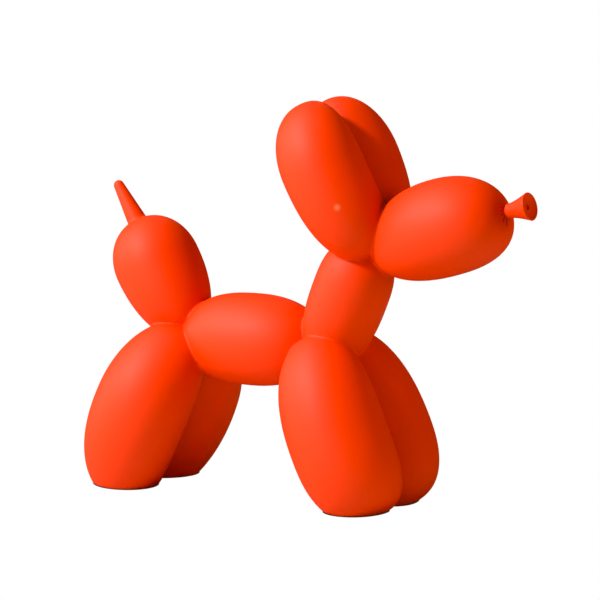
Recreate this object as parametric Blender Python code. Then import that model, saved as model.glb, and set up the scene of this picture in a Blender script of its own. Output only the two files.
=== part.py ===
"""A cast ornament of a balloon dog: one closed solid, in metres, nose towards +X and +Z up.

The figure is strung together the way a balloon is twisted. Three twists, at the hip, the
shoulder and the crown of the head, hold the bubbles: the hip carries the tail, the body and the
hind legs, the shoulder the neck and the front legs, and the crown the ears and the snout. Round
each twist the bubbles overlap, so neighbours always grow into each other. The legs reach below
the floor and are cut off flat there, which gives the soles that the figure stands on.
"""

import math

import bmesh
import bpy
from mathutils import Matrix, Vector

# Each bubble is widest at its FULLEST_SHARE of the way along, and from there each end closes as a
# superellipse with its own EXPONENT: 2 is a plain ellipse, and more keeps the bubble full longer.

# Body: it starts at the hip and ends just short of the shoulder, which is HIP_TO_SHOULDER away
HIP_TO_SHOULDER = 0.0850
BODY_SHORT_OF_SHOULDER = 0.0030
BODY_GIRTH = 0.0495
BODY_FULLEST_SHARE = 0.50
BODY_REAR_EXPONENT = 2.60
BODY_FRONT_EXPONENT = 2.20

# Hind legs: length from the hip twist to the rounded end, of which the floor takes HIND_LEG_CUT
HIND_LEG_LENGTH = 0.1020
HIND_LEG_GIRTH = 0.0520
HIND_LEG_LEAN = 23.5
HIND_LEG_CUT = 0.0115
HIND_LEG_PAST = 0.0065
HIND_LEG_SPREAD_LOW = 0.0120
HIND_LEG_SPREAD_TOP = 0.0110
HIND_LEG_BOW = 0.0130
HIND_LEG_FULLEST_SHARE = 0.57
HIND_LEG_LOW_EXPONENT = 2.40
HIND_LEG_TOP_EXPONENT = 2.30

# Front legs: length from the shoulder twist to the rounded end, cut in the same way
FRONT_LEG_LENGTH = 0.0945
FRONT_LEG_GIRTH = 0.0535
FRONT_LEG_LEAN = 24.5
FRONT_LEG_CUT = 0.0025
FRONT_LEG_PAST = 0.0065
FRONT_LEG_SPREAD_LOW = 0.0175
FRONT_LEG_SPREAD_TOP = 0.0105
FRONT_LEG_BOW = 0.0070
FRONT_LEG_FULLEST_SHARE = 0.43
FRONT_LEG_LOW_EXPONENT = 2.85
FRONT_LEG_TOP_EXPONENT = 2.45

# Tail: leans back from the hip
TAIL_LENGTH = 0.0695
TAIL_GIRTH = 0.0470
TAIL_LEAN = 30.5
TAIL_PAST = 0.0015
TAIL_FULLEST_SHARE = 0.62
TAIL_EXPONENT = 2.10

# Neck: leans forward from a point a little ahead of the shoulder up to the crown
NECK_LENGTH = 0.0595
NECK_GIRTH = 0.0410
NECK_LEAN = 22.5
NECK_AHEAD = 0.0030
NECK_PAST = 0.0095
NECK_FULLEST_SHARE = 0.58
NECK_LOW_EXPONENT = 2.50
NECK_TOP_EXPONENT = 2.90

# Snout: rises forward, its rear end a little ahead of the crown and below it
SNOUT_LENGTH = 0.0820
SNOUT_GIRTH = 0.0515
SNOUT_RISE = 17.5
SNOUT_AHEAD = 0.0040
SNOUT_BELOW = 0.0030
SNOUT_BOW = 0.0025
SNOUT_FULLEST_SHARE = 0.53
SNOUT_REAR_EXPONENT = 2.10
SNOUT_FRONT_EXPONENT = 2.40

# Ears: lean back from a point a little ahead of the crown
EAR_LENGTH = 0.0825
EAR_GIRTH = 0.0440
EAR_LEAN = 26.5
EAR_AHEAD = 0.0040
EAR_PAST = 0.0068
EAR_SPREAD_LOW = 0.0060
EAR_SPREAD_TOP = 0.0150
EAR_BOW = 0.0075
EAR_FULLEST_SHARE = 0.58
EAR_LOW_EXPONENT = 2.40
EAR_TOP_EXPONENT = 2.30

# Knot at the tip of the snout: a short stub that flares to a lip round a dished mouth
KNOT_LENGTH = 0.0152
KNOT_ROOT = 0.0070
KNOT_RISE = 14.5
KNOT_ABOVE_AXIS = 0.0018
KNOT_WAIST_AT = 0.0042
KNOT_WAIST_WIDTH = 0.0084
KNOT_MOUTH_WIDTH = 0.0148
KNOT_FLARE_EXPONENT = 1.35
KNOT_LIP = 0.0007
KNOT_LIP_TURN = 120.0
KNOT_DISH_DEPTH = 0.0016
KNOT_DISH_HALFWAY_SHARE = 0.7
KNOT_DIMPLE_WIDTH = 0.0026
KNOT_DIMPLE_DEPTH = 0.0012

# Tail tip: the last of the balloon that no air went into, tapering to a round end
TIP_LENGTH = 0.0243
TIP_ROOT = 0.0040
TIP_LEAN = 32.5
TIP_BASE_WIDTH = 0.0106
TIP_END_WIDTH = 0.0057

# How finely the round shapes are faceted
BUBBLE_SEGMENTS = 26
BUBBLE_RINGS = 16
TURNED_SEGMENTS = 24
FLARE_STEPS = 5
ROUND_STEPS = 4
MERGE_DISTANCE = 1e-6

PAINT = (0.80, 0.031, 0.002, 1.0)
PAINT_ROUGHNESS = 0.6

FORWARD = Vector((1.0, 0.0, 0.0))
ACROSS = Vector((0.0, 1.0, 0.0))
UP = Vector((0.0, 0.0, 1.0))
LEFT_AND_RIGHT = (1.0, -1.0)


def leaning(degrees):
    """The unit vector at this angle from upright, forward where the angle is positive."""
    angle = math.radians(degrees)
    return Vector((math.sin(angle), 0.0, math.cos(angle)))


def swell(share, fullest, start_exponent, end_exponent):
    """The radius of a bubble at a share of its length, as a part of its widest radius."""
    if share < fullest:
        off = (fullest - share) / fullest
        exponent = start_exponent
    else:
        off = (share - fullest) / (1.0 - fullest)
        exponent = end_exponent
    return max(0.0, 1.0 - off**exponent) ** (1.0 / exponent)


def square_axes(axis):
    """Two unit vectors square to an axis and to each other, the first as near +Y as it can be."""
    first = (ACROSS - axis * axis.dot(ACROSS)).normalized()
    return first, axis.cross(first)


def new_solid(name, shape):
    """Puts a bmesh into the scene as a smooth-shaded object."""
    mesh = bpy.data.meshes.new(name)
    bmesh.ops.recalc_face_normals(shape, faces=shape.faces)
    shape.to_mesh(mesh)
    shape.free()
    solid = bpy.data.objects.new(name, mesh)
    bpy.context.scene.collection.objects.link(solid)
    mesh.shade_smooth()
    return solid


def bubble(name, start, end, girth, fullest, start_exponent, end_exponent, bow=Vector()):
    """An inflated bubble from start to end: a sphere drawn out along its axis.

    bow is how far its middle is pushed off the straight line between its ends.
    """
    shape = bmesh.new()
    bmesh.ops.create_uvsphere(shape, u_segments=BUBBLE_SEGMENTS, v_segments=BUBBLE_RINGS, radius=1.0)
    run = end - start
    first, second = square_axes(run.normalized())
    for corner in shape.verts:
        share = (corner.co.z + 1.0) / 2.0
        radius = swell(share, fullest, start_exponent, end_exponent) * girth / 2.0
        spoke = Vector((corner.co.x, corner.co.y))
        if spoke.length > 0.0:
            spoke.normalize()
        middle = start + run * share + bow * (4.0 * share * (1.0 - share))
        corner.co = middle + (first * spoke.x + second * spoke.y) * radius
    return new_solid(name, shape)


def turned(name, base, axis, profile):
    """A profile of (distance along the axis, radius) pairs turned about the axis."""
    shape = bmesh.new()
    first, _ = square_axes(axis)
    corners = [shape.verts.new(base + axis * along + first * radius) for along, radius in profile]
    edges = [shape.edges.new(pair) for pair in zip(corners, corners[1:])]
    bmesh.ops.spin(shape, geom=corners + edges, cent=base, axis=axis, angle=math.tau,
                   steps=TURNED_SEGMENTS, use_merge=True)
    bmesh.ops.remove_doubles(shape, verts=shape.verts, dist=MERGE_DISTANCE)
    return new_solid(name, shape)


def arc(centre_along, centre_radius, radius, from_degrees, to_degrees):
    """Profile points on an arc; 0 degrees points outwards and 90 along the axis."""
    points = []
    for step in range(ROUND_STEPS + 1):
        angle = math.radians(from_degrees + (to_degrees - from_degrees) * step / ROUND_STEPS)
        points.append((centre_along + radius * math.sin(angle), centre_radius + radius * math.cos(angle)))
    return points


def knot_profile():
    """Stub, flare, rounded lip, dished mouth and the dimple in the middle of it."""
    waist = KNOT_WAIST_WIDTH / 2.0
    mouth = KNOT_MOUTH_WIDTH / 2.0
    lip_along = KNOT_LENGTH - KNOT_LIP
    points = [(-KNOT_ROOT, 0.0), (-KNOT_ROOT, waist)]
    for step in range(FLARE_STEPS):
        share = step / FLARE_STEPS
        along = KNOT_WAIST_AT + (lip_along - KNOT_WAIST_AT) * share
        points.append((along, waist + (mouth - waist) * share**KNOT_FLARE_EXPONENT))
    points += arc(lip_along, mouth - KNOT_LIP, KNOT_LIP, 0.0, KNOT_LIP_TURN)
    dimple = KNOT_DIMPLE_WIDTH / 2.0
    dish_along = KNOT_LENGTH - KNOT_DISH_DEPTH
    halfway = (mouth - KNOT_LIP + dimple) / 2.0
    points.append((KNOT_LENGTH - KNOT_DISH_DEPTH * KNOT_DISH_HALFWAY_SHARE, halfway))
    points.append((dish_along, dimple))
    points.append((dish_along - KNOT_DIMPLE_DEPTH, 0.0))
    return points


def tip_profile():
    """A taper that ends in a half-round."""
    end = TIP_END_WIDTH / 2.0
    centre = TIP_LENGTH - end
    points = [(-TIP_ROOT, 0.0), (-TIP_ROOT, TIP_BASE_WIDTH / 2.0), (0.0, TIP_BASE_WIDTH / 2.0)]
    points += arc(centre, 0.0, end, 0.0, 90.0)
    return points


def paint():
    """Orange-red paint, plain here."""
    material = bpy.data.materials.new("paint")
    material.use_nodes = True
    surface = material.node_tree.nodes["Principled BSDF"]
    surface.inputs["Base Color"].default_value = PAINT
    surface.inputs["Roughness"].default_value = PAINT_ROUGHNESS
    surface.inputs["Metallic"].default_value = 0.0
    return material


def twists():
    """Where the hip, the shoulder and the crown are, with the hip over the origin.

    The legs set the heights of the hip and the shoulder, and the body spans what lies between.
    """
    hip_height = HIND_LEG_LENGTH * math.cos(math.radians(HIND_LEG_LEAN)) - HIND_LEG_CUT
    shoulder_height = FRONT_LEG_LENGTH * math.cos(math.radians(FRONT_LEG_LEAN)) - FRONT_LEG_CUT
    climb = shoulder_height - hip_height
    hip = Vector((0.0, 0.0, hip_height))
    shoulder = Vector((math.sqrt(HIP_TO_SHOULDER**2 - climb**2), 0.0, shoulder_height))
    neck_foot = shoulder + FORWARD * NECK_AHEAD
    crown = neck_foot + leaning(NECK_LEAN) * NECK_LENGTH
    return hip, shoulder, neck_foot, crown


def bubbles_of_the_hip(hip):
    """The tail with its tip, and the hind legs."""
    back = leaning(-TAIL_LEAN)
    tail_end = hip + back * TAIL_LENGTH
    tail = bubble("tail", hip - back * TAIL_PAST, tail_end, TAIL_GIRTH, TAIL_FULLEST_SHARE,
                  TAIL_EXPONENT, TAIL_EXPONENT)
    tip = turned("tail_tip", tail_end, leaning(-TIP_LEAN), tip_profile())
    solids = [tail, tip]
    axis = leaning(HIND_LEG_LEAN)
    for side in LEFT_AND_RIGHT:
        low = hip - axis * HIND_LEG_LENGTH + ACROSS * (side * HIND_LEG_SPREAD_LOW)
        top = hip + axis * HIND_LEG_PAST + ACROSS * (side * HIND_LEG_SPREAD_TOP)
        solids.append(bubble("hind_leg", low, top, HIND_LEG_GIRTH, HIND_LEG_FULLEST_SHARE,
                             HIND_LEG_LOW_EXPONENT, HIND_LEG_TOP_EXPONENT,
                             ACROSS * (side * HIND_LEG_BOW)))
    return solids


def bubbles_of_the_shoulder(shoulder, neck_foot, crown):
    """The neck and the front legs."""
    along_neck = (crown - neck_foot).normalized()
    solids = [bubble("neck", neck_foot - along_neck * NECK_PAST, crown, NECK_GIRTH, NECK_FULLEST_SHARE,
                     NECK_LOW_EXPONENT, NECK_TOP_EXPONENT)]
    axis = leaning(-FRONT_LEG_LEAN)
    for side in LEFT_AND_RIGHT:
        low = shoulder - axis * FRONT_LEG_LENGTH + ACROSS * (side * FRONT_LEG_SPREAD_LOW)
        top = shoulder + axis * FRONT_LEG_PAST + ACROSS * (side * FRONT_LEG_SPREAD_TOP)
        solids.append(bubble("front_leg", low, top, FRONT_LEG_GIRTH, FRONT_LEG_FULLEST_SHARE,
                             FRONT_LEG_LOW_EXPONENT, FRONT_LEG_TOP_EXPONENT,
                             ACROSS * (side * FRONT_LEG_BOW)))
    return solids


def bubbles_of_the_crown(crown):
    """The snout with its knot, and the ears."""
    snout_start = crown + FORWARD * SNOUT_AHEAD - UP * SNOUT_BELOW
    snout_end = snout_start + leaning(90.0 - SNOUT_RISE) * SNOUT_LENGTH
    square_to_snout = leaning(-SNOUT_RISE)
    snout = bubble("snout", snout_start, snout_end, SNOUT_GIRTH, SNOUT_FULLEST_SHARE,
                   SNOUT_REAR_EXPONENT, SNOUT_FRONT_EXPONENT, square_to_snout * SNOUT_BOW)
    knot_base = snout_end + square_to_snout * KNOT_ABOVE_AXIS
    knot = turned("knot", knot_base, leaning(90.0 - KNOT_RISE), knot_profile())
    solids = [snout, knot]
    ear_foot = crown + FORWARD * EAR_AHEAD
    axis = leaning(-EAR_LEAN)
    for side in LEFT_AND_RIGHT:
        low = ear_foot - axis * EAR_PAST + ACROSS * (side * EAR_SPREAD_LOW)
        top = ear_foot + axis * EAR_LENGTH + ACROSS * (side * EAR_SPREAD_TOP)
        solids.append(bubble("ear", low, top, EAR_GIRTH, EAR_FULLEST_SHARE,
                             EAR_LOW_EXPONENT, EAR_TOP_EXPONENT, ACROSS * (side * EAR_BOW)))
    return solids


def floor_block(size):
    """A block whose top is the floor, large enough to take all that reaches below it."""
    shape = bmesh.new()
    bmesh.ops.create_cube(shape, size=size, matrix=Matrix.Translation((0.0, 0.0, -size / 2.0)))
    return new_solid("floor_block", shape)


def centre_over_origin(solids):
    """Moves the solids along X until the middle of the whole figure is over the origin."""
    reach = [corner.co.x for solid in solids for corner in solid.data.vertices if corner.co.z > 0.0]
    for solid in solids:
        solid.location.x = -(min(reach) + max(reach)) / 2.0
    return max(reach) - min(reach)


def keep_as_guides(solids, name):
    """Gathers the shapes that a Boolean uses, and keeps them out of the finished model."""
    guides = bpy.data.collections.new(name)
    bpy.context.scene.collection.children.link(guides)
    for solid in solids:
        bpy.context.scene.collection.objects.unlink(solid)
        guides.objects.link(solid)
        solid.hide_render = True
        solid.display_type = "WIRE"
    return guides


def close_seams(figure):
    """Merges the doubled points that a Boolean leaves along a seam."""
    seam = figure.modifiers.new("close_seams", "WELD")
    seam.merge_threshold = MERGE_DISTANCE


def balloon_dog():
    """Joins the bubbles into one solid and cuts the soles flat."""
    hip, shoulder, neck_foot, crown = twists()
    along_body = (shoulder - hip).normalized()
    figure = bubble("balloon_dog", hip, shoulder - along_body * BODY_SHORT_OF_SHOULDER,
                    BODY_GIRTH, BODY_FULLEST_SHARE, BODY_REAR_EXPONENT, BODY_FRONT_EXPONENT)
    others = bubbles_of_the_hip(hip) + bubbles_of_the_shoulder(shoulder, neck_foot, crown)
    others += bubbles_of_the_crown(crown)
    length = centre_over_origin([figure] + others)

    joined = figure.modifiers.new("join_bubbles", "BOOLEAN")
    joined.operation = "UNION"
    joined.operand_type = "COLLECTION"
    joined.solver = "EXACT"
    joined.collection = keep_as_guides(others, "bubbles")

    close_seams(figure)
    block = floor_block(2.0 * length)
    soles = figure.modifiers.new("cut_soles", "BOOLEAN")
    soles.operation = "DIFFERENCE"
    soles.operand_type = "OBJECT"
    soles.solver = "EXACT"
    soles.object = block
    keep_as_guides([block], "cutters")

    close_seams(figure)
    figure.data.materials.append(paint())
    return figure


for leftover in list(bpy.data.objects):
    bpy.data.objects.remove(leftover, do_unlink=True)

balloon_dog()
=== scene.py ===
# %% [markdown]
# # A cast balloon dog, painted orange-red
# The real thing is a small ornament: a dog twisted from one long balloon, cast in resin and
# painted a soft, matte orange-red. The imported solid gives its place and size. Here the same figure
# is blown up again in fine mesh, so that the bubbles are truly round, the creases between them are
# softly filled as in a casting, and the paint has some life in it.

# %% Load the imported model
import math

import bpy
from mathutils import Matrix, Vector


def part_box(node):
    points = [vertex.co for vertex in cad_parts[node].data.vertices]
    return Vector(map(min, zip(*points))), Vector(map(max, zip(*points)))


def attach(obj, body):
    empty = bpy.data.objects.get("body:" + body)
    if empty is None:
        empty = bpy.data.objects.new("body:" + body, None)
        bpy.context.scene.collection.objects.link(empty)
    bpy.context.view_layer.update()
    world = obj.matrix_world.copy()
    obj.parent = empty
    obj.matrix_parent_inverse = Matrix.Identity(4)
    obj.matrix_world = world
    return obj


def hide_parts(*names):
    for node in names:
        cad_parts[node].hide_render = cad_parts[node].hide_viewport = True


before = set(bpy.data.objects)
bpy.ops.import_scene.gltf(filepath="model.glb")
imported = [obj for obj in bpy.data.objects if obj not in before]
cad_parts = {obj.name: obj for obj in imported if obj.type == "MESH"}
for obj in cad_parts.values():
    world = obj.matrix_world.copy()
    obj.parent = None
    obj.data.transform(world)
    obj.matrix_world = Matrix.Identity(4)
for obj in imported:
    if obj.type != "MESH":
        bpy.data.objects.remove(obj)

# %% [markdown]
# Blender's operators act on whatever is selected, so the first thing is a clean start with nothing
# selected. The box of the imported solid is read as well: it is the space that the finished
# figure has to fill, and no more. A few short helpers select a piece, apply a modifier to it, and
# give the directions that the dog's limbs lean in.

FORWARD = Vector((1.0, 0.0, 0.0))
ACROSS = Vector((0.0, 1.0, 0.0))
UP = Vector((0.0, 0.0, 1.0))
NOWHERE = Vector((0.0, 0.0, 0.0))
MERGE_DISTANCE = 1e-6


def select_nothing():
    """Leaves no object selected, so that the next operator starts clean."""
    bpy.ops.object.select_all(action="DESELECT")


def select_only(*pieces):
    """Selects these objects alone and makes the first one active."""
    select_nothing()
    for piece in pieces:
        piece.select_set(True)
    bpy.context.view_layer.objects.active = pieces[0]


def apply_modifier(piece, kind, **settings):
    """Adds a modifier, sets it up and applies it."""
    select_only(piece)
    modifier = piece.modifiers.new(kind.lower(), kind)
    for name, value in settings.items():
        setattr(modifier, name, value)
    bpy.ops.object.modifier_apply(modifier=modifier.name)


def edit_points(piece, wanted):
    """Goes into edit mode with only those points selected whose place passes a test."""
    select_only(piece)
    bpy.ops.object.mode_set(mode="EDIT")
    bpy.ops.mesh.select_mode(type="VERT")
    bpy.ops.mesh.select_all(action="DESELECT")
    bpy.ops.object.mode_set(mode="OBJECT")
    for point in piece.data.vertices:
        point.select = wanted(point.co)
    bpy.ops.object.mode_set(mode="EDIT")


def leaning(degrees):
    """The unit vector at this angle from upright, forward where the angle is positive."""
    angle = math.radians(degrees)
    return Vector((math.sin(angle), 0.0, math.cos(angle)))


def towards(azimuth, elevation):
    """The unit vector towards a place at this azimuth, from -Y round to +X, and this elevation."""
    turn, lift = math.radians(azimuth), math.radians(elevation)
    return Vector((math.sin(turn) * math.cos(lift), -math.cos(turn) * math.cos(lift), math.sin(lift)))


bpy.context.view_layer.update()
solid_low, solid_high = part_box("balloon_dog")
select_nothing()

# %% [markdown]
# ## The camera
# The dog looks to the right of the picture and a little towards us. Its feet show how the ground
# runs: the far pair stands higher in the frame than the near pair, and by little, so the camera was
# low and a long way off. A long lens on a camera two metres away gives that flat, calm view. A
# wider lens close by would swell the near leg and the snout.

# %% The camera
CAMERA_AZIMUTH = 31.7066
CAMERA_ELEVATION = 8.6766
CAMERA_DISTANCE = 2.1794
CAMERA_AIM = Vector((-0.0095, 0.0, 0.1062))
CAMERA_LENS = 246.55
CAMERA_SENSOR = 36.0

out_to_camera = towards(CAMERA_AZIMUTH, CAMERA_ELEVATION)
bpy.ops.object.camera_add(location=CAMERA_AIM + out_to_camera * CAMERA_DISTANCE,
                          rotation=out_to_camera.to_track_quat("Z", "Y").to_euler())
camera = bpy.context.object
camera.name = "camera"
camera.data.lens = CAMERA_LENS
camera.data.sensor_width = CAMERA_SENSOR
bpy.context.scene.camera = camera
print("camera at", [round(place, 3) for place in camera.location])

# %% [markdown]
# ## How a bubble is blown
# Every bubble of the dog is a sausage with round ends, blunter than an ellipse and not the same at
# both ends. A scaled sphere can't do that. So a bubble is drawn out ring by ring, as by hand with
# the E and S keys: a small disc is extruded along the bubble, and each new ring is resized. The
# rings crowd together at the ends, where the outline turns fastest. Where two bubbles of a pair
# press against each other they bow outwards, so a bubble may also curve off its straight line.

# %% Blow one bubble
BUBBLE_SEGMENTS = 80
BUBBLE_RINGS = 48


def swell(share, fullest, start_exponent, end_exponent):
    """How wide a bubble is at a share of its length, as a part of its widest radius."""
    if share < fullest:
        off, exponent = (fullest - share) / fullest, start_exponent
    else:
        off, exponent = (share - fullest) / (1.0 - fullest), end_exponent
    return max(0.0, 1.0 - off**exponent) ** (1.0 / exponent)


def blow(name, start, end, girth, fullest, exponents, bow=NOWHERE, segments=BUBBLE_SEGMENTS,
         rings=BUBBLE_RINGS):
    """Draws a bubble out ring by ring from start to end, its middle pushed off the line by bow."""
    run = end - start
    steps = [math.pi * (ring + 0.5) / rings for ring in range(rings)]
    shares = [(1.0 - math.cos(step)) / 2.0 for step in steps]
    centres = [start + run * share + bow * (4.0 * share * (1.0 - share)) for share in shares]
    radii = [swell(share, fullest, *exponents) * girth / 2.0 for share in shares]
    select_nothing()
    along_run = run.to_track_quat("Z", "Y").to_euler()
    bpy.ops.mesh.primitive_circle_add(vertices=segments, radius=radii[0], fill_type="NGON",
                                      location=centres[0], rotation=along_run)
    bubble = bpy.context.object
    bubble.name = name
    bpy.ops.object.transform_apply(location=True, rotation=True, scale=True)
    bpy.ops.object.mode_set(mode="EDIT")
    bpy.ops.mesh.select_all(action="SELECT")
    for ring in range(1, rings):
        step = centres[ring] - centres[ring - 1]
        bpy.ops.mesh.extrude_region_move(TRANSFORM_OT_translate={"value": step})
        grow = radii[ring] / radii[ring - 1]
        bpy.ops.transform.resize(value=(grow, grow, grow), center_override=centres[ring])
    bpy.ops.mesh.select_all(action="SELECT")
    bpy.ops.mesh.normals_make_consistent(inside=False)
    bpy.ops.object.mode_set(mode="OBJECT")
    print(name, "has", len(bubble.data.vertices), "points")
    return bubble


# %% [markdown]
# ## Where the twists are
# A balloon dog hangs together at three twists: the hip, the shoulder and the crown of the head. The
# legs set how high the hip and the shoulder are, the body spans what lies between, and the neck
# carries the crown. So the legs' sizes come first, and the rest follows from them. The hip is made
# at X = 0 for now. The whole figure slides along into the solid's box when it is done.

# %% Legs, body and neck: sizes and twists
HIND_LEG_LENGTH = 0.1020
HIND_LEG_GIRTH = 0.0520
HIND_LEG_FULLEST = 0.57
HIND_LEG_EXPONENTS = (2.40, 2.30)
HIND_LEG_LEAN = 23.5
HIND_LEG_CUT = 0.0115
HIND_LEG_PAST = 0.0065
HIND_LEG_SPREAD_LOW = 0.0120
HIND_LEG_SPREAD_TOP = 0.0110
HIND_LEG_BOW = 0.0130

FRONT_LEG_LENGTH = 0.0945
FRONT_LEG_GIRTH = 0.0535
FRONT_LEG_FULLEST = 0.43
FRONT_LEG_EXPONENTS = (2.85, 2.45)
FRONT_LEG_LEAN = 24.5
FRONT_LEG_CUT = 0.0025
FRONT_LEG_PAST = 0.0065
FRONT_LEG_SPREAD_LOW = 0.0175
FRONT_LEG_SPREAD_TOP = 0.0105
FRONT_LEG_BOW = 0.0070

HIP_TO_SHOULDER = 0.0850
NECK_LENGTH = 0.0595
NECK_LEAN = 22.5
NECK_AHEAD = 0.0030

hip = UP * (HIND_LEG_LENGTH * math.cos(math.radians(HIND_LEG_LEAN)) - HIND_LEG_CUT)
shoulder_height = FRONT_LEG_LENGTH * math.cos(math.radians(FRONT_LEG_LEAN)) - FRONT_LEG_CUT
body_reach = math.sqrt(HIP_TO_SHOULDER**2 - (shoulder_height - hip.z) ** 2)
shoulder = FORWARD * body_reach + UP * shoulder_height
neck_foot = shoulder + FORWARD * NECK_AHEAD
crown = neck_foot + leaning(NECK_LEAN) * NECK_LENGTH

# %% [markdown]
# ## The legs
# The legs come in pairs, pressed together, and stand on flat-cut feet. One leg of each pair is
# blown, reaching below the floor. Then it is bisected at the floor and the cut filled, and the
# Mirror modifier gives the other side.

# %% Blow, cut and mirror the legs
def cut_at_floor(piece):
    """Takes away what reaches below the floor and closes the cut."""
    select_only(piece)
    bpy.ops.object.mode_set(mode="EDIT")
    bpy.ops.mesh.select_all(action="SELECT")
    bpy.ops.mesh.bisect(plane_co=NOWHERE, plane_no=UP, use_fill=True, clear_inner=True)
    bpy.ops.object.mode_set(mode="OBJECT")


def mirror(piece):
    """Adds the same shape on the other side of the dog."""
    apply_modifier(piece, "MIRROR", use_axis=(False, True, False), use_mirror_merge=False)


hind_axis = leaning(HIND_LEG_LEAN)
hind_legs = blow("hind_legs", hip - hind_axis * HIND_LEG_LENGTH - ACROSS * HIND_LEG_SPREAD_LOW,
                 hip + hind_axis * HIND_LEG_PAST - ACROSS * HIND_LEG_SPREAD_TOP,
                 HIND_LEG_GIRTH, HIND_LEG_FULLEST, HIND_LEG_EXPONENTS, ACROSS * -HIND_LEG_BOW)
front_axis = leaning(-FRONT_LEG_LEAN)
front_legs = blow("front_legs", shoulder - front_axis * FRONT_LEG_LENGTH - ACROSS * FRONT_LEG_SPREAD_LOW,
                  shoulder + front_axis * FRONT_LEG_PAST - ACROSS * FRONT_LEG_SPREAD_TOP,
                  FRONT_LEG_GIRTH, FRONT_LEG_FULLEST, FRONT_LEG_EXPONENTS, ACROSS * -FRONT_LEG_BOW)
for legs in (hind_legs, front_legs):
    cut_at_floor(legs)
    mirror(legs)

# %% [markdown]
# ## Body, tail and neck
# These three sit in the middle, one of each. The body runs from twist to twist, the tail leans back
# from the hip, and the neck leans forward to the crown.

# %% Blow the body, the tail and the neck
BODY_SHORT_OF_SHOULDER = 0.0030
BODY_GIRTH = 0.0495
BODY_FULLEST = 0.50
BODY_EXPONENTS = (2.60, 2.20)
TAIL_LENGTH = 0.0695
TAIL_GIRTH = 0.0470
TAIL_FULLEST = 0.62
TAIL_EXPONENTS = (2.10, 2.10)
TAIL_LEAN = 30.5
TAIL_PAST = 0.0015
NECK_GIRTH = 0.0410
NECK_FULLEST = 0.58
NECK_EXPONENTS = (2.50, 2.90)
NECK_PAST = 0.0095

along_body = (shoulder - hip).normalized()
body = blow("body", hip, shoulder - along_body * BODY_SHORT_OF_SHOULDER, BODY_GIRTH, BODY_FULLEST,
            BODY_EXPONENTS)

tail_axis = leaning(-TAIL_LEAN)
tail_end = hip + tail_axis * TAIL_LENGTH
tail = blow("tail", hip - tail_axis * TAIL_PAST, tail_end, TAIL_GIRTH, TAIL_FULLEST, TAIL_EXPONENTS)

neck_axis = leaning(NECK_LEAN)
neck = blow("neck", neck_foot - neck_axis * NECK_PAST, crown, NECK_GIRTH, NECK_FULLEST,
            NECK_EXPONENTS)

# %% [markdown]
# ## Snout and ears
# The snout rises forward from just ahead of the crown, arched a little. The ears lean back, each
# bowed away from the other, and are mirrored like the legs. Their lower ends are blunt, because
# they press on the top of the neck. The crease there runs nearly level in the photo.

# %% Blow the snout and the ears
SNOUT_LENGTH = 0.0820
SNOUT_GIRTH = 0.0515
SNOUT_RISE = 17.5
SNOUT_AHEAD = 0.0040
SNOUT_BELOW = 0.0030
SNOUT_BOW = 0.0025
SNOUT_FULLEST = 0.53
SNOUT_EXPONENTS = (2.10, 2.40)
EAR_LENGTH = 0.0825
EAR_GIRTH = 0.0440
EAR_FULLEST = 0.57
EAR_EXPONENTS = (2.85, 2.30)
EAR_LEAN = 26.5
EAR_AHEAD = 0.0040
EAR_PAST = 0.0046
EAR_SPREAD_LOW = 0.0060
EAR_SPREAD_TOP = 0.0150
EAR_BOW = 0.0075

snout_start = crown + FORWARD * SNOUT_AHEAD - UP * SNOUT_BELOW
snout_axis = leaning(90.0 - SNOUT_RISE)
snout_end = snout_start + snout_axis * SNOUT_LENGTH
square_to_snout = leaning(-SNOUT_RISE)
snout = blow("snout", snout_start, snout_end, SNOUT_GIRTH, SNOUT_FULLEST, SNOUT_EXPONENTS,
             square_to_snout * SNOUT_BOW)

ear_foot = crown + FORWARD * EAR_AHEAD
ear_axis = leaning(-EAR_LEAN)
ears = blow("ears", ear_foot - ear_axis * EAR_PAST - ACROSS * EAR_SPREAD_LOW,
            ear_foot + ear_axis * EAR_LENGTH - ACROSS * EAR_SPREAD_TOP,
            EAR_GIRTH, EAR_FULLEST, EAR_EXPONENTS, ACROSS * -EAR_BOW)
mirror(ears)

# %% [markdown]
# ## Turned ends
# The tail ends in the last bit of balloon that no air went into: a tapering nub with a round end.
# It is a turned shape, so half its outline is drawn point by point, from the axis out and back
# again, and spun round the axis. The point that the outline starts from is a plane merged at its
# centre, which is the quickest way to a single point.

# %% Turn the tail tip
TURNED_STEPS = 72
TIP_LENGTH = 0.0243
TIP_ROOT = 0.0060
TIP_LEAN = 32.5
TIP_BASE_WIDTH = 0.0106
TIP_END_WIDTH = 0.0057
ARC_STEPS = 12


def arc(centre_along, centre_radius, radius, from_degrees, to_degrees):
    """Outline points on an arc; 0 degrees points outwards and 90 along the axis."""
    points = []
    for step in range(ARC_STEPS + 1):
        angle = math.radians(from_degrees + (to_degrees - from_degrees) * step / ARC_STEPS)
        points.append((centre_along + radius * math.sin(angle),
                       centre_radius + radius * math.cos(angle)))
    return points


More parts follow.
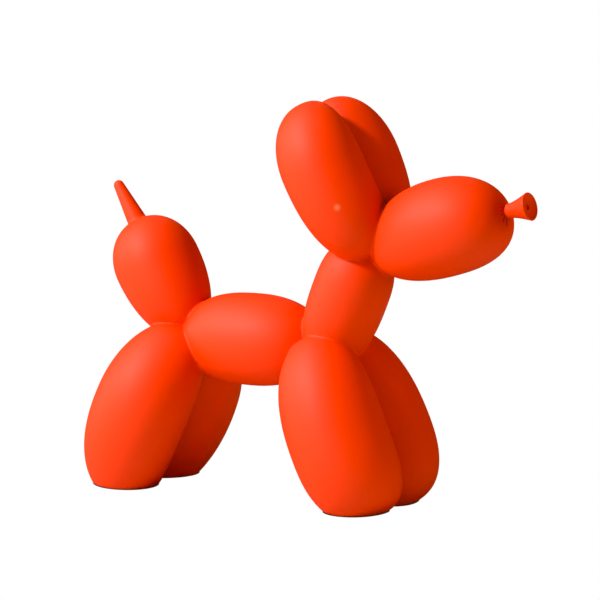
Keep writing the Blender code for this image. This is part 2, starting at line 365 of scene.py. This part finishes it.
def turn(name, base, axis, outline):
    """Draws an outline of (distance along the axis, radius) pairs and spins it about the axis."""
    places = [base + axis * along + ACROSS * radius for along, radius in outline]
    select_nothing()
    bpy.ops.mesh.primitive_plane_add(size=1.0, location=places[0])
    turned = bpy.context.object
    turned.name = name
    bpy.ops.object.transform_apply(location=True, rotation=True, scale=True)
    bpy.ops.object.mode_set(mode="EDIT")
    bpy.ops.mesh.select_all(action="SELECT")
    bpy.ops.mesh.merge(type="CENTER")
    for before, place in zip(places, places[1:]):
        bpy.ops.mesh.extrude_region_move(TRANSFORM_OT_translate={"value": place - before})
    bpy.ops.mesh.select_all(action="SELECT")
    bpy.ops.mesh.spin(steps=TURNED_STEPS, angle=math.tau, center=base, axis=axis)
    bpy.ops.mesh.select_all(action="SELECT")
    bpy.ops.mesh.remove_doubles(threshold=MERGE_DISTANCE)
    bpy.ops.mesh.normals_make_consistent(inside=False)
    bpy.ops.object.mode_set(mode="OBJECT")
    print(name, "has", len(turned.data.vertices), "points")
    return turned


tip_end_radius = TIP_END_WIDTH / 2.0
tip_outline = [(-TIP_ROOT, 0.0), (-TIP_ROOT, TIP_BASE_WIDTH / 2.0), (0.0, TIP_BASE_WIDTH / 2.0)]
tip_outline += arc(TIP_LENGTH - tip_end_radius, 0.0, tip_end_radius, 0.0, 90.0)
tail_tip = turn("tail_tip", tail_end, leaning(-TIP_LEAN), tip_outline)

# %% [markdown]
# ## One casting
# The figure was cast as one piece, so its bubbles are made one skin too. They are joined, and the
# Remesh modifier wraps all of them in one closed skin of small, even faces, with nothing left
# inside. A Boolean would do as well, but it leaves knife-sharp creases, and in a casting they are
# softly filled. A light Smooth does that here. The feet get far more of it, low down only: their
# flat soles stay flat, and the sharp rims round off and draw the thin dark line under each foot.
# Decimate then thins the skin where it is nearly flat.

# %% Join, remesh, smooth and thin out
SKIN_VOXEL = 0.0006
SMOOTH_FACTOR = 0.5
CREASE_SMOOTHING = 2
FOOT_HEIGHT = 0.0070
FOOT_SMOOTHING = 22
SKIN_TRIANGLES = 165000

select_only(body, hind_legs, front_legs, tail, tail_tip, neck, snout, ears)
bpy.ops.object.join()
dog = bpy.context.object
dog.name = "painted_dog"
apply_modifier(dog, "REMESH", mode="VOXEL", voxel_size=SKIN_VOXEL)
apply_modifier(dog, "SMOOTH", factor=SMOOTH_FACTOR, iterations=CREASE_SMOOTHING)
edit_points(dog, lambda place: place.z < FOOT_HEIGHT)
bpy.ops.mesh.vertices_smooth(factor=SMOOTH_FACTOR, repeat=FOOT_SMOOTHING)
bpy.ops.object.mode_set(mode="OBJECT")
quads = len(dog.data.polygons)
apply_modifier(dog, "DECIMATE", ratio=SKIN_TRIANGLES / (2.0 * quads))
print("the skin has", quads, "faces after the remesh and", len(dog.data.polygons), "after thinning")

# %% [markdown]
# ## Puckers round the knot
# Where the balloon was tied, its skin is gathered into small puckers that run out from the knot and
# fade. Each is cut with a very thin bubble that lies half sunk in the snout's blunt end. The end's
# height comes from the same outline formula that blew the snout, so the cuts follow its curve. They
# come after the remesh, whose faces are too coarse for them.

# %% Cut the puckers
KNOT_ABOVE_AXIS = 0.0018
PUCKER_START = 0.0019
PUCKER_GIRTH = 0.0013
PUCKER_FULLEST = 0.40
PUCKER_EXPONENTS = (2.0, 1.6)
PUCKER_FINENESS = 12
PUCKERS = ((172, 0.0084), (138, 0.0066), (104, 0.0054), (66, 0.0050), (24, 0.0058), (-22, 0.0050),
           (-66, 0.0070), (-110, 0.0054), (-150, 0.0060))


def on_snout_end(above, aside):
    """The place on the snout's blunt end that lies this far above its axis and to its right."""
    out = math.hypot(above, aside) / (SNOUT_GIRTH / 2.0)
    rest = 1.0 - SNOUT_FULLEST
    share = SNOUT_FULLEST + rest * swell(SNOUT_FULLEST + rest * out, SNOUT_FULLEST, *SNOUT_EXPONENTS)
    centre = snout_start + (snout_end - snout_start) * share
    centre += square_to_snout * (SNOUT_BOW * 4.0 * share * (1.0 - share))
    return centre + square_to_snout * above - ACROSS * aside


def by_the_knot(degrees, reach):
    """The place on the snout's end at this distance from the knot, at this angle from upright."""
    angle = math.radians(degrees)
    return on_snout_end(KNOT_ABOVE_AXIS + reach * math.cos(angle), reach * math.sin(angle))


cuts = [blow("pucker", by_the_knot(angle, PUCKER_START), by_the_knot(angle, reach), PUCKER_GIRTH,
             PUCKER_FULLEST, PUCKER_EXPONENTS, segments=PUCKER_FINENESS, rings=PUCKER_FINENESS)
        for angle, reach in PUCKERS]
select_only(*cuts)
bpy.ops.object.join()
puckers = bpy.context.object
apply_modifier(dog, "BOOLEAN", operation="DIFFERENCE", solver="EXACT", object=puckers)
bpy.data.objects.remove(puckers, do_unlink=True)
print("the skin has", len(dog.data.polygons), "faces with its puckers")

# %% [markdown]
# ## The knot
# At the tip of the snout the balloon was tied off. The stub comes out of a tight pinch, runs a
# little way, and flares like a trumpet to a thin rolled lip round a dished mouth, with a dimple
# where the hole was. It is turned finely and joined on after the remesh, which would have melted
# its lip.

# %% Turn the knot and join it on
KNOT_LENGTH = 0.0152
KNOT_ROOT = 0.0070
KNOT_RISE = 14.5
KNOT_PINCH_WIDTH = 0.0028
KNOT_PINCH_AT = 0.0006
KNOT_BULGE_AT = 0.0023
KNOT_BULGE_ANGLES = (30, 50, 70, 90)
KNOT_WAIST_AT = 0.0036
KNOT_WAIST_WIDTH = 0.0079
KNOT_MOUTH_WIDTH = 0.0148
KNOT_FLARE_EXPONENT = 1.36
KNOT_LIP = 0.0006
KNOT_LIP_TURN = 150.0
KNOT_DISH_DEPTH = 0.0011
KNOT_DIMPLE_WIDTH = 0.0034
KNOT_DIMPLE_DEPTH = 0.0022
KNOT_DIMPLE_ANGLES = (30, 60, 90)
FLARE_STEPS = 14
DISH_STEPS = 8

waist = KNOT_WAIST_WIDTH / 2.0
mouth = KNOT_MOUTH_WIDTH / 2.0
pinch = KNOT_PINCH_WIDTH / 2.0
lip_at = KNOT_LENGTH - KNOT_LIP
knot_outline = [(-KNOT_ROOT, 0.0), (-KNOT_ROOT, pinch), (KNOT_PINCH_AT, pinch)]
knot_outline += [(KNOT_PINCH_AT + (KNOT_BULGE_AT - KNOT_PINCH_AT) * math.sin(math.radians(angle)) ** 2,
                  pinch + (waist - pinch) * math.sin(math.radians(angle)))
                 for angle in KNOT_BULGE_ANGLES]
for step in range(FLARE_STEPS):
    share = step / FLARE_STEPS
    knot_outline.append((KNOT_WAIST_AT + (lip_at - KNOT_WAIST_AT) * share,
                         waist + (mouth - waist) * share**KNOT_FLARE_EXPONENT))
knot_outline += arc(lip_at, mouth - KNOT_LIP, KNOT_LIP, 0.0, KNOT_LIP_TURN)
dish_rim = knot_outline[-1][1]
dimple = KNOT_DIMPLE_WIDTH / 2.0
for step in range(1, DISH_STEPS + 1):
    share = step / DISH_STEPS
    knot_outline.append((lip_at - KNOT_DISH_DEPTH * math.sin(share * math.pi / 2.0),
                         dish_rim + (dimple - dish_rim) * share))
for angle in KNOT_DIMPLE_ANGLES:
    turned_by = math.radians(angle)
    knot_outline.append((lip_at - KNOT_DISH_DEPTH - KNOT_DIMPLE_DEPTH * math.sin(turned_by),
                         dimple * math.cos(turned_by) if angle < 90 else 0.0))
knot = turn("knot", snout_end + square_to_snout * KNOT_ABOVE_AXIS, leaning(90.0 - KNOT_RISE),
            knot_outline)
apply_modifier(dog, "BOOLEAN", operation="UNION", solver="EXACT", object=knot)
bpy.data.objects.remove(knot, do_unlink=True)

# %% [markdown]
# ## Into the solid's box
# The figure slides along until it fills the solid's box, and its soles are pressed flat onto the
# floor: their points are picked by height and scaled to nothing along Z, about the floor.

# %% Slide the figure home and flatten its soles
SOLE_REACH = 0.0001
SHARP_FROM = 50.0

lowest = min(point.co.x for point in dog.data.vertices)
highest = max(point.co.x for point in dog.data.vertices)
select_only(dog)
bpy.ops.transform.translate(value=FORWARD * ((solid_low.x + solid_high.x - lowest - highest) / 2.0))
bpy.ops.object.transform_apply(location=True, rotation=True, scale=True)
edit_points(dog, lambda place: place.z < SOLE_REACH)
bpy.ops.transform.resize(value=(1.0, 1.0, 0.0), center_override=NOWHERE)
bpy.ops.object.mode_set(mode="OBJECT")
bpy.ops.object.shade_smooth_by_angle(angle=math.radians(SHARP_FROM))
print("the soles hold", sum(point.co.z == 0.0 for point in dog.data.vertices), "points")

# %% [markdown]
# ## The paint
# Orange-red paint with a soft sheen, sprayed on: nearly one colour, but warmer and cooler by a hair
# over a hand's breadth, with the finest orange-peel grain in the surface. One small nick on the ear
# shows the pale resin underneath.

# %% Mix the paint
PAINT = (0.76, 0.0275, 0.001, 1.0)
PAINT_DEEP = (0.71, 0.0255, 0.001, 1.0)
PAINT_ROUGHNESS = 0.60
PAINT_SPECULAR = 0.25
PALE_RESIN = (0.72, 0.155, 0.058, 1.0)
NICK_PLACE = Vector((0.0342, -0.0344, 0.1625))
NICK_SIZE = 0.0026
NICK_SOFT_EDGE = 0.9
DRIFT_SCALE = 14.0
DRIFT_DETAIL = 2.0
GRAIN_SCALE = 900.0
GRAIN_DETAIL = 3.0
GRAIN_STRENGTH = 0.12
GRAIN_DEPTH = 0.0002


def link(tree, from_socket, to_socket):
    """Joins an output to an input."""
    tree.links.new(from_socket, to_socket)


def noise_node(tree, coordinates, scale, detail):
    """A noise pattern on the object's own coordinates."""
    noise = tree.nodes.new("ShaderNodeTexNoise")
    noise.inputs["Scale"].default_value = scale
    noise.inputs["Detail"].default_value = detail
    link(tree, coordinates, noise.inputs["Vector"])
    return noise


def colour_mix(tree):
    """A node that mixes two colours."""
    mix = tree.nodes.new("ShaderNodeMix")
    mix.data_type = "RGBA"
    return mix


def mix_paint():
    """The paint, with its colour drift, its grain and the nick in it."""
    material = bpy.data.materials.new("orange_red_paint")
    material.use_nodes = True
    tree = material.node_tree
    surface = tree.nodes["Principled BSDF"]
    surface.inputs["Roughness"].default_value = PAINT_ROUGHNESS
    surface.inputs["Specular IOR Level"].default_value = PAINT_SPECULAR
    surface.inputs["Metallic"].default_value = 0.0
    place = tree.nodes.new("ShaderNodeTexCoord").outputs["Object"]

    drift = noise_node(tree, place, DRIFT_SCALE, DRIFT_DETAIL)
    colour = colour_mix(tree)
    colour.inputs["A"].default_value = PAINT_DEEP
    colour.inputs["B"].default_value = PAINT
    link(tree, drift.outputs["Fac"], colour.inputs["Factor"])

    centred = tree.nodes.new("ShaderNodeMapping")
    centred.inputs["Location"].default_value = -NICK_PLACE / NICK_SIZE
    centred.inputs["Scale"].default_value = (1.0 / NICK_SIZE,) * 3
    link(tree, place, centred.inputs["Vector"])
    ball = tree.nodes.new("ShaderNodeTexGradient")
    ball.gradient_type = "SPHERICAL"
    link(tree, centred.outputs["Vector"], ball.inputs["Vector"])
    nick = tree.nodes.new("ShaderNodeMapRange")
    nick.interpolation_type = "SMOOTHSTEP"
    nick.inputs["From Min"].default_value = 0.0
    nick.inputs["From Max"].default_value = NICK_SOFT_EDGE
    link(tree, ball.outputs["Fac"], nick.inputs["Value"])
    nicked = colour_mix(tree)
    nicked.inputs["B"].default_value = PALE_RESIN
    link(tree, colour.outputs["Result"], nicked.inputs["A"])
    link(tree, nick.outputs["Result"], nicked.inputs["Factor"])
    link(tree, nicked.outputs["Result"], surface.inputs["Base Color"])

    grain = noise_node(tree, place, GRAIN_SCALE, GRAIN_DETAIL)
    peel = tree.nodes.new("ShaderNodeBump")
    peel.inputs["Strength"].default_value = GRAIN_STRENGTH
    peel.inputs["Distance"].default_value = GRAIN_DEPTH
    link(tree, grain.outputs["Fac"], peel.inputs["Height"])
    link(tree, peel.outputs["Normal"], surface.inputs["Normal"])
    return material


dog.data.materials.clear()
dog.data.materials.append(mix_paint())
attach(dog, "root")
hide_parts("balloon_dog")
print("painted with", dog.data.materials[0].name)

# %% [markdown]
# ## The floor
# The ornament stands on seamless white, so bright in the photo that it shows no shadow but a thin
# dark line where the feet touch down. A plain floor bright enough for that would also throw too
# much light up under the dog. So the floor glows plain white to the camera, with a painted contact
# shadow: its glow is darkened by ambient occlusion in the narrow gap under the soles. To the light
# it is an ordinary sheet of white card.

# %% Lay the floor
FLOOR_SIZE = 40.0
FLOOR_CARD = (0.74, 0.72, 0.62, 1.0)
CONTACT_REACH = 0.0008
PAINTED_CONTACT_SHADE = (0.05, 0.006, 0.002, 1.0)
CONTACT_DARK_TO = 0.45
CONTACT_GONE_FROM = 0.85
WHITE = (1.0, 1.0, 1.0, 1.0)


def lay_floor():
    """White card to the light; to the camera a plain white glow with a painted contact shadow."""
    material = bpy.data.materials.new("white_floor")
    material.use_nodes = True
    tree = material.node_tree
    card = tree.nodes["Principled BSDF"]
    card.inputs["Base Color"].default_value = FLOOR_CARD
    card.inputs["Roughness"].default_value = 1.0
    card.inputs["Specular IOR Level"].default_value = 0.0
    nearness = tree.nodes.new("ShaderNodeAmbientOcclusion")
    nearness.inputs["Distance"].default_value = CONTACT_REACH
    contact = tree.nodes.new("ShaderNodeMapRange")
    contact.inputs["From Min"].default_value = CONTACT_DARK_TO
    contact.inputs["From Max"].default_value = CONTACT_GONE_FROM
    link(tree, nearness.outputs["AO"], contact.inputs["Value"])
    # Painted contact shadow: the glow's colour goes dark where ambient occlusion finds the soles close.
    painted_shadow_colour = colour_mix(tree)
    painted_shadow_colour.inputs["A"].default_value = PAINTED_CONTACT_SHADE
    painted_shadow_colour.inputs["B"].default_value = WHITE
    link(tree, contact.outputs["Result"], painted_shadow_colour.inputs["Factor"])
    glow = tree.nodes.new("ShaderNodeEmission")
    link(tree, painted_shadow_colour.outputs["Result"], glow.inputs["Color"])
    seen = tree.nodes.new("ShaderNodeLightPath")
    either = tree.nodes.new("ShaderNodeMixShader")
    link(tree, seen.outputs["Is Camera Ray"], either.inputs["Fac"])
    link(tree, card.outputs["BSDF"], either.inputs[1])
    link(tree, glow.outputs["Emission"], either.inputs[2])
    link(tree, either.outputs["Shader"], tree.nodes["Material Output"].inputs["Surface"])
    material.cycles.emission_sampling = "NONE"
    select_nothing()
    bpy.ops.mesh.primitive_plane_add(size=FLOOR_SIZE, location=NOWHERE)
    floor = bpy.context.object
    floor.name = "floor"
    floor.data.materials.append(material)
    floor.visible_glossy = False
    print("the floor is", FLOOR_SIZE, "m across")


lay_floor()

# %% [markdown]
# ## The light
# A smallish key light from the left, in front and above, draws the edges of the shadows between
# the ears and between the legs. A large one higher up beside it softens them, and another, low down
# on the left, gives the broad sheen along the left-hand edges. A low light in front brightens the
# undersides that face the camera, and a weak one straight above the upper ones. On the right, and
# behind, two more stand in for what the room throws back. They lift the shade, and are kept out of
# the gloss.
#
# The photo's colour is strong: outside the sheen hardly any blue is left in the orange. Paint alone
# can't do that, for every soft light lays a trace of white over it. So the picture's own curves
# hold its blue down by a hair, and leave the white of the floor as it is.

# %% Set the lights
LIGHT_DISTANCE = 1.7
BLUE_HELD_DOWN = 0.012
BLACK = (0.0, 0.0, 0.0, 1.0)
LIGHTS = (
    ("key_light", -32.0, 37.0, 0.26, 39.0, True),
    ("high_light", -70.0, 52.0, 1.00, 13.0, True),
    ("left_light", -74.0, 14.0, 0.90, 11.0, True),
    ("low_light", -14.0, 12.0, 1.00, 8.5, True),
    ("top_light", 0.0, 88.0, 1.00, 3.0, True),
    ("right_fill", 104.0, 18.0, 1.00, 11.0, False),
    ("back_fill", -145.0, 40.0, 1.00, 6.0, False),
)

for name, azimuth, elevation, size, power, shines in LIGHTS:
    out_to_light = towards(azimuth, elevation)
    bpy.ops.object.light_add(type="AREA", location=CAMERA_AIM + out_to_light * LIGHT_DISTANCE,
                             rotation=out_to_light.to_track_quat("Z", "Y").to_euler())
    lamp = bpy.context.object
    lamp.name = name
    lamp.data.shape = "DISK"
    lamp.data.size = size
    lamp.data.energy = power
    lamp.visible_glossy = shines
print("lights:", [light[0] for light in LIGHTS])

world = bpy.data.worlds.new("dark_room")
world.use_nodes = True
world.node_tree.nodes["Background"].inputs["Color"].default_value = BLACK
bpy.context.scene.world = world
view = bpy.context.scene.view_settings
view.view_transform = "Standard"
view.use_curve_mapping = True
view.curve_mapping.black_level = (0.0, 0.0, BLUE_HELD_DOWN)
view.curve_mapping.update()
